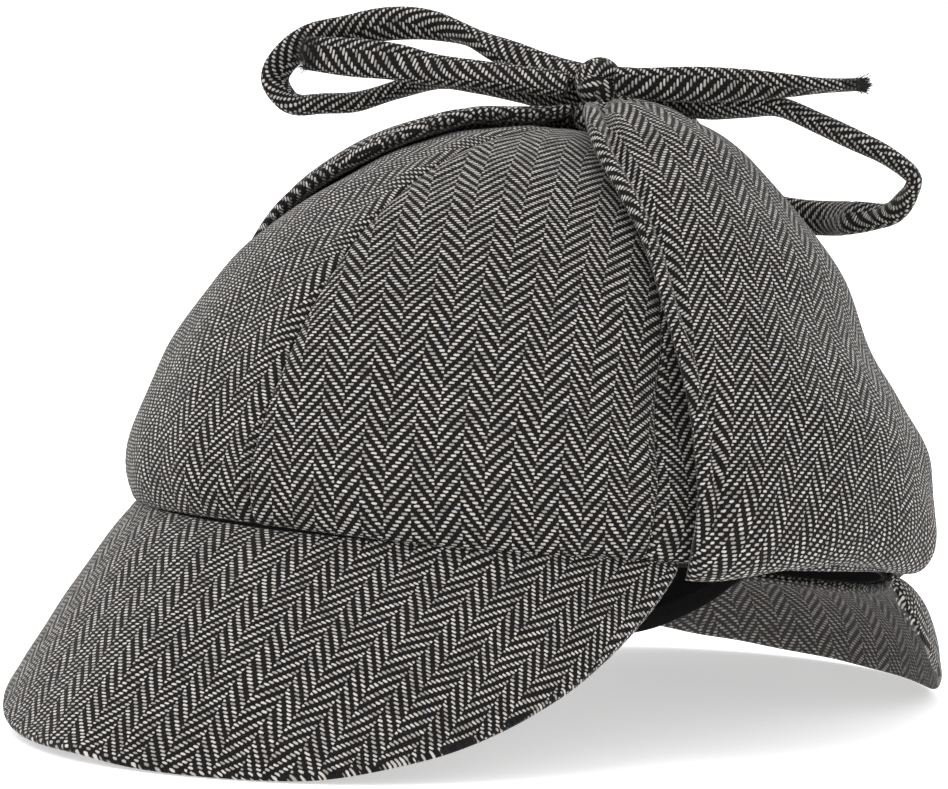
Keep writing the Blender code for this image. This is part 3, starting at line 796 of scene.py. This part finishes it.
def peak_point(shape, angle, down):
    """A point on a peak's upper face. angle is from its middle, down from 0 at the base to 1."""
    angle, down = np.broadcast_arrays(np.float64(angle), np.float64(down))
    forward = shape["forward"]
    share = np.clip(np.abs(angle) / shape["half_spread"], 0, 1)
    depth = shape["depth"] * (1 - share**2.2) ** shape["taper"] + PEAK_CORNER
    depth = depth * (1 + shape["skew"] * np.clip(angle / shape["half_spread"], -1, 1))
    spread = np.sin(share * math.pi / 2) ** 1.5
    slope = shape["slope"] + (shape["corner_slope"] - shape["slope"]) * spread
    round_head = angle if forward < 0 else 180.0 - angle
    base = base_line(round_head)
    turn = np.radians(angle)
    square = unit(np.stack([np.sin(turn) / HALF_WIDTH, forward * np.cos(turn) / HALF_LENGTH], -1))
    straight = np.stack([np.zeros_like(angle), np.full_like(angle, forward)], -1)
    away = unit((1 - shape["ahead"]) * square + shape["ahead"] * straight)
    tilt = np.radians(slope + shape["curl"] * (down - 0.5))
    outside = down >= 0
    level = np.where(outside, np.cos(tilt), 1.0)
    fall = np.where(outside, np.sin(tilt), 0.0)
    run = np.where(outside, down * depth, down * TONGUE)
    x = base[..., 0] + away[..., 0] * level * run
    y = base[..., 1] + away[..., 1] * level * run
    twist = shape["twist"] * base[..., 0] / HALF_WIDTH * np.maximum(run, 0) / shape["depth"]
    z = base[..., 2] - fall * run - twist
    z = z - TONGUE_DROP * np.clip(1 - down * depth / TONGUE, 0, 1)
    bend = np.radians(slope) * np.clip(1 + np.minimum(down, 0), 0.15, 1)
    bend = bend * np.clip(0.5 + down * depth / 0.004, 0, 1)
    bend = np.where(down * depth > 0.002, tilt, bend)
    face = np.stack([away[..., 0] * np.sin(bend), away[..., 1] * np.sin(bend), np.cos(bend)], -1)
    return np.stack([x, y, z], -1), face


def peak_cloth(grid, grain):
    """The front peak's cloth, bent round from side to side and sloping forward by grain degrees."""
    ring = base_line(np.linspace(-90, 90, 181))
    slope = math.radians(grain)
    rise = ring[:, 2] * math.cos(slope) + ring[:, 1] * math.sin(slope)
    run = np.concatenate([[0], np.cumsum(np.hypot(np.diff(ring[:, 0]), np.diff(rise)))])
    run -= run[90]
    u = np.interp(grid[..., 0], ring[:, 0], run)
    v = grid[..., 1] * math.cos(slope) + grid[..., 2] * math.sin(slope)
    return np.stack([u, v], -1) * 1000


def peak(name, shape, material, under=None):
    """A stiff curved peak of two layers of cloth, with a tongue that reaches in under the hem."""
    depth = shape["depth"]
    across = side_shares(120, PEAK_SIDE_ROUND, PEAK_WIDTH)
    down = np.concatenate([[-1.0, -0.85, -0.6, -0.3, 0.0], side_shares(44, PEAK_EDGE_ROUND, depth)[2:]])
    bunched = np.sin((2 * across - 1) * math.pi / 2 * 0.94)
    angle = (bunched / bunched[-1] * shape["half_spread"])[None, :]
    top, face = peak_point(shape, angle, down[:, None])
    tongue_round = np.sqrt(np.clip(1 - (1 - (1 + down) / 0.6) ** 2, 0, 1))
    edge_round = np.where(down > 0.5, rim_shape(down, PEAK_EDGE_ROUND, depth), 1.0)
    rim = np.where(down < -0.4, tongue_round, edge_round)
    half = PEAK_CLOTH / 2 * rim_shape(across, PEAK_SIDE_ROUND, PEAK_WIDTH)[None, :] * rim[:, None]
    stitched = -PEAK_STITCH * hump((1 - down[:, None]) * depth, *PEAK_STITCH_AT)
    uneven = (unevenness(top, *PEAK_WAVES) + stitched) * ramp(down[:, None], 0.1)
    middle = top + face * (uneven - PEAK_CLOTH / 2)[..., None]
    outer = middle + face * half[..., None]
    cloth = peak_cloth(outer, shape["grain"]) if "grain" in shape else flat_cloth(outer)
    pillow(name, middle, half, face, cloth, material, under)


def ear_flap(name, side, material, under):
    """A padded flap folded up against the crown, its edges rolled and its top drawn to the knot.

    side is 1 for the left one and -1 for the right one.
    """
    across = side_shares(150, FLAP_SIDE_ROUND, FLAP_SIDES[0], 6)
    rising = side_shares(112, FLAP_END_ROUND, FLAP_SIDES[1], 6)
    share = across[None, :]
    up = rising[:, None] * FLAP_EDGE[-1][0]
    front, back = (row_between(FLAP_EDGE, up, column) for column in ((1, 3) if side > 0 else (2, 3)))
    angle = front + (back - front) * share
    columns = (1, 2, 3) if side > 0 else (4, 5, 6)
    at_front, at_middle, at_back = (row_between(FLAP_STAND_OFF, up, c) / 1000 for c in columns)
    to_edge = np.abs(2 * share - 1) ** 2.5
    above_fold = ramp(up, 0.1)
    stand = at_middle + (np.where(share < 0.5, at_front, at_back) - at_middle) * to_edge
    thick = row_between(FLAP_THICK, up, 1) / 1000
    thick = thick + (FLAP_EDGE_THICK - thick) * to_edge * above_fold
    thick = np.minimum(thick, stand - FLAP_CLEAR)
    skin = crown_skin(side * angle, up)
    from_edge = np.minimum(share, 1 - share) * lengths_along(skin, 1)[:, -1:]
    deep = FLAP_STITCH[side] * (1 + 0.25 * ramp(up - 0.55, 0.2))
    groove = -deep * hump(from_edge, *FLAP_STITCH_AT) * above_fold
    uneven = unevenness(skin, *FLAP_WAVES) * ramp(from_edge, 0.01)
    drawn = ramp(up - FLAP_DRAWN[0], FLAP_DRAWN[1])
    count, high = FLAP_GATHERS
    gathers = high * np.sin(share * 2 * math.pi * count + unevenness(skin, GATHER_WANDER)) * drawn
    top = stand + groove + uneven + gathers * ramp(from_edge, 0.006)
    if side > 0:
        top = top + FLAP_TIP * hump(angle, *FLAP_TIP_AT) * drawn**2
    side_round = rim_shape(across, FLAP_SIDE_ROUND, FLAP_SIDES[0])[None, :]
    end_round = rim_shape(rising, FLAP_END_ROUND, FLAP_SIDES[1])[:, None]
    half = thick / 2 * side_round * end_round
    outward = crown_out(side * angle, up)
    middle = skin + outward * (top - thick / 2)[..., None]
    foot = crown_out(side * angle, up * 0.0)[..., 2] * (stand - thick / 2)
    hanging = row_between(FLAP_FOLD, share, 1) / 1000
    fold = (foot + hanging) * np.clip(1 - up / FLAP_FOLD_REACH, 0, 1) ** 2
    middle[..., 2] -= fold
    smooth = skin + outward * (stand - thick / 2)[..., None]
    smooth[..., 2] -= fold
    cloth = cut(let_out(flat_cloth(smooth), middle + outward * half[..., None], smooth), name)
    piece = pillow(name, middle, half, outward, cloth, material, under)


def sweatband(name, material):
    """The ribbon round the inside of the base."""
    angle = np.linspace(-180, 180, 241)[:-1]
    low = -row_between(BAND_DROP, angle, 1) / 1000
    outside = CLOTH + BAND_OFF
    foot = crown_point(angle, 0.0, -outside)
    hanging = foot * BAND_HANG
    hanging[:, 2] = base_line(angle)[:, 2] + low
    rows = [hanging + (foot - hanging) * share for share in np.linspace(0, 1, 9)[:-1]]
    for up in BAND_UP * np.linspace(0, 1, 9):
        rows.append(crown_point(angle, up, -outside - dent(angle, up)))
    outer = np.stack(rows, 1)
    inward = -unit(foot * np.array([1, 1, 0]))
    inner = outer + inward[:, None] * BAND_THICK
    grid = np.concatenate([outer, inner[:, ::-1]], 1)
    across = lengths_along(outer, 1) * 1000
    across = np.concatenate([across, across[:, ::-1]], 1)
    along = np.broadcast_to(np.arange(len(angle))[:, None] * BAND_STEP, across.shape)
    mesh = tube(f"ribbon_{name}", grid, np.stack([across, along], -1), 0.0, BAND_STEP * len(angle))
    finish_piece(mesh, material, name)


def smooth_route(route, step):
    """Points a step apart along a smooth curve through the route's own points, in metres."""
    through = np.array(route, float) / 1000
    ends = np.concatenate([[2 * through[0] - through[1]], through, [2 * through[-1] - through[-2]]])
    dense = []
    t = np.linspace(0, 1, 20, endpoint=False)[:, None]
    for before, start, end, after in zip(ends, ends[1:], ends[2:], ends[3:]):
        a = -before + 3 * start - 3 * end + after
        b = 2 * before - 5 * start + 4 * end - after
        c = end - before
        dense.append(0.5 * (a * t**3 + b * t**2 + c * t) + start)
    dense = np.concatenate([*dense, ends[-2:-1]])
    travelled = np.concatenate([[0], np.cumsum(np.linalg.norm(np.diff(dense, axis=0), axis=1))])
    count = max(2, round(travelled[-1] / step)) + 1
    wanted = np.linspace(0, travelled[-1], count)
    points = np.stack([np.interp(wanted, travelled, dense[:, axis]) for axis in range(3)], -1)
    return points, wanted


def tie(name, route, material, cut_cloth=None, yarn=None):
    """A narrow sewn tube, flattened, twisting along its way and pinched in the knot.

    With cut_cloth its far end is cut, of that darker cloth, and frayed into loose yarn.
    """
    points, travelled = smooth_route(route, TIE_ROW)
    total = travelled[-1]
    heading = unit(np.gradient(points, axis=0))
    lay = TIE_LAY[name]
    reached = travelled * 1000
    roll = np.radians(row_between(lay, reached, 1))[:, None]
    facing = np.array(TIE_FACING)
    level = unit(facing - heading * np.sum(facing * heading, -1, keepdims=True))
    look = level * np.cos(roll) + np.cross(heading, level) * np.sin(roll)
    side = np.cross(heading, look)
    loop = cut_cloth is None
    from_knot = np.minimum(travelled, total - travelled) if loop else travelled
    size = TIE_NECK_SHARE + (1 - TIE_NECK_SHARE) * ramp(from_knot, TIE_NECK) ** 1.3
    swell = 1 + unevenness(points, TIE_SWELL)
    half_wide = row_between(lay, reached, 2) / 2000 * size * swell
    half_thick = row_between(lay, reached, 3) / 2000 * size * (2 - swell)
    turn = np.linspace(0, 2 * math.pi, 33)[:-1]
    wide = half_wide[:, None] * bowed(np.cos(turn), TIE_SQUARE)[None]
    deep = half_thick[:, None] * bowed(np.sin(turn), TIE_SQUARE)[None]
    rings = points[:, None] + side[:, None] * wide[..., None] + look[:, None] * deep[..., None]
    around = np.linspace(0, TIE_GIRTH, len(turn) + 1)[:-1] + TIE_SHEET_START[name]
    shape = rings.shape[:2]
    cloth = np.stack([np.broadcast_to(around, shape), np.broadcast_to(reached[:, None], shape)], -1)
    mesh = tube(f"tweed_{name}", rings, cloth, TIE_GIRTH)
    piece = finish_piece(mesh, material, name)
    if cut_cloth:
        mesh.materials.append(cut_cloth)
        row = np.arange(len(mesh.polygons)) // len(turn)
        dark = row >= len(points) - 1 - round(TIE_CUT / TIE_ROW)
        mesh.polygons.foreach_set("material_index", dark.astype(np.int32))
        across, deep = side[-1] * half_wide[-1], look[-1] * half_thick[-1]
        fray(name, points[-1], heading[-1], across, deep, yarn)


def fray(name, end, heading, across, deep, yarn):
    """Loose threads at a cut end. across and deep run from its middle to its side and its face."""
    chance = np.random.default_rng(sum(map(ord, name)))
    data = bpy.data.curves.new(f"threads_{name}", "CURVE")
    data.dimensions = "3D"
    data.bevel_depth = THREAD_RADIUS
    data.bevel_resolution = 1
    data.use_fill_caps = True
    for _ in range(THREADS):
        reach = np.sqrt(chance.uniform())
        turn = chance.uniform(0, 2 * math.pi)
        where = end + across * reach * math.cos(turn) + deep * reach * math.sin(turn)
        where = where - heading * THREAD_ROOT
        long = chance.uniform(*THREAD_LENGTH) + LONG_THREAD * (chance.uniform() > 0.93)
        aim = unit(heading + 0.28 * chance.normal(size=3))
        bend = chance.normal(size=3) * 0.0004
        spline = data.splines.new("POLY")
        spline.points.add(3)
        for i, point in enumerate(spline.points):
            t = i / 3
            point.co = (*place(where + aim * long * t + bend * t * t), 1.0)
            point.radius = 1.0 - 0.5 * t
    return finish_piece(data, yarn)


def knot_band(centre, way_out, way_up, reach, wide, thick, start):
    """One turn of the tie about way_out: a ring in the plane of way_up, as a closed mesh."""
    aside = np.cross(way_up, way_out)
    round_way = np.linspace(0, 2 * math.pi, 65)[:-1]
    section = np.linspace(0, 2 * math.pi, 25)[:-1]
    ring_out = aside * np.cos(round_way)[:, None] + way_up * np.sin(round_way)[:, None]
    spread = reach[0] * np.cos(round_way) ** 2 + reach[1] * np.sin(round_way) ** 2
    spread = spread * (1 + 0.05 * np.sin(2 * round_way + 0.7))
    out = spread[:, None] + thick * np.cos(section)[None]
    deep = wide * bowed(np.sin(section), 0.8)
    grid = centre + ring_out[:, None] * out[..., None] + (way_out * deep[:, None])[None]
    u = np.broadcast_to(section[None] / (2 * math.pi) * KNOT_GIRTH + start, grid.shape[:2])
    length = 2 * math.pi * (sum(reach) / 2 + thick) * 1000
    v = np.broadcast_to(round_way[:, None] / (2 * math.pi) * length, grid.shape[:2])
    return tube("band", grid, np.stack([u, v], -1), KNOT_GIRTH, length)


def bow_knot(name, material):
    """The knot: a turn of the tie over the top, one across its front, and the ties' root."""
    right = np.array([math.cos(math.radians(VIEW_TURN)), math.sin(math.radians(VIEW_TURN)), 0.0])
    toward = np.array(TIE_FACING)
    upward = np.cross(toward, right)
    upward = upward * np.sign(upward[2])
    centre = np.array(KNOT)
    root = np.array([APEX_X, APEX_Y, KNOT_ROOT])
    lean = math.radians(KNOT_LEAN)
    leaf = right * math.cos(lean) + upward * math.sin(lean)
    leaf_up = upward * math.cos(lean) - right * math.sin(lean)
    leaf_at = centre + toward * 0.0008 - upward * 0.0012
    over = unit(toward * 0.85 + right * 0.25 - upward * 0.45)
    over_up = unit(upward - over * np.dot(upward, over))
    bands = (
        # centre, way out of the ring's plane, way up in it, half its width and height, half the tie's
        # width and thickness, start of its cloth
        (centre + upward * 0.0008, over, over_up, (0.0033, 0.0036), 0.0043, 0.0023, 0.7),
        (leaf_at, leaf, leaf_up, (0.0034, 0.0024), 0.0043, 0.0022, 2.4),
        (root, np.array([0.0, 0.0, 1.0]), right, (0.0012, 0.0012), 0.0034, 0.0021, 5.0),
    )
    whole = bmesh.new()
    for band in bands:
        whole.from_mesh(knot_band(*band))
    mesh = bpy.data.meshes.new(f"tweed_{name}")
    whole.to_mesh(mesh)
    whole.free()
    finish_piece(mesh, material, name)


def add_stage():
    """A wide pale floor, which shines a little so that it stays pale."""
    half = 12.0
    corners = [(-half, -half, 0), (half, -half, 0), (half, half, 0), (-half, half, 0)]
    mesh = bpy.data.meshes.new("floor")
    mesh.from_pydata(corners, [], [(0, 1, 2, 3)])
    floor = add_piece("floor", mesh)
    pale = dict(Base_Color=(0.88, 0.88, 0.88, 1), Roughness=0.9, Specular_IOR_Level=0.1)
    shine = dict(Emission_Color=(1, 1, 1, 1), Emission_Strength=0.5)
    mesh.materials.append(new_material("floor", **pale, **shine)[0])


def add_sun(name, back, spread, power):
    """A broad soft light from the direction back."""
    data = bpy.data.lights.new(name, "SUN")
    data.angle = math.radians(spread)
    data.energy = power
    light = add_piece(name, data)
    back = unit(np.array(back))
    right = unit(np.cross(np.array([0.0, 0.0, 1.0]), back))
    light.matrix_world = pose(right, np.cross(back, right), back, np.zeros(3))


def add_lights():
    """An even white sky, a broad light from above and a weak one from where the photo was taken."""
    world = bpy.data.worlds.new("world")
    world.use_nodes = True
    sky = world.node_tree.nodes["Background"].inputs
    sky["Color"].default_value = (1, 1, 1, 1)
    sky["Strength"].default_value = 1.0
    bpy.context.scene.world = world
    add_sun("key", (-0.25, -0.3, 1.1), 60, 1.5)
    add_sun("front", (0.629, -0.777, 0.08), 35, 0.35)


def main():
    add_camera()
    cloth = tweed("tweed_crown")
    # The flaps' inner faces and the lower halves of their rims get the cloth with its off-white painted
    # darker: painted shade under the flaps' edges.
    folded = tweed("tweed_painted_shade", light=0.5)
    tie_cloth = tweed("tweed_ties", light=0.92)
    cut_end = (tweed("tweed_cut", light=0.22), thread("threads"))
    for name, route in TIE_ROUTES.items():
        tie(name, route, tie_cloth, *(cut_end if name.startswith("tie_end") else ()))
    for name, front, back in PANELS:
        crown_panel(name, front, back, cloth)
    peak("front_peak", FRONT_PEAK, cloth)
    # The rear peak's underside gets the cloth with its black painted much lighter and its off-white a
    # little darker: painted light on the shaded underside.
    peak("rear_peak", REAR_PEAK, cloth, under=tweed("tweed_under_painted_light", light=0.9, dark=7.0))
    ear_flap("ear_flap_left", 1, cloth, folded)
    ear_flap("ear_flap_right", -1, cloth, folded)
    sweatband("sweatband", ribbon("ribbon"))
    bow_knot("bow_knot", tie_cloth)
    add_stage()
    add_lights()
    bpy.context.scene.view_settings.view_transform = "Standard"


main()
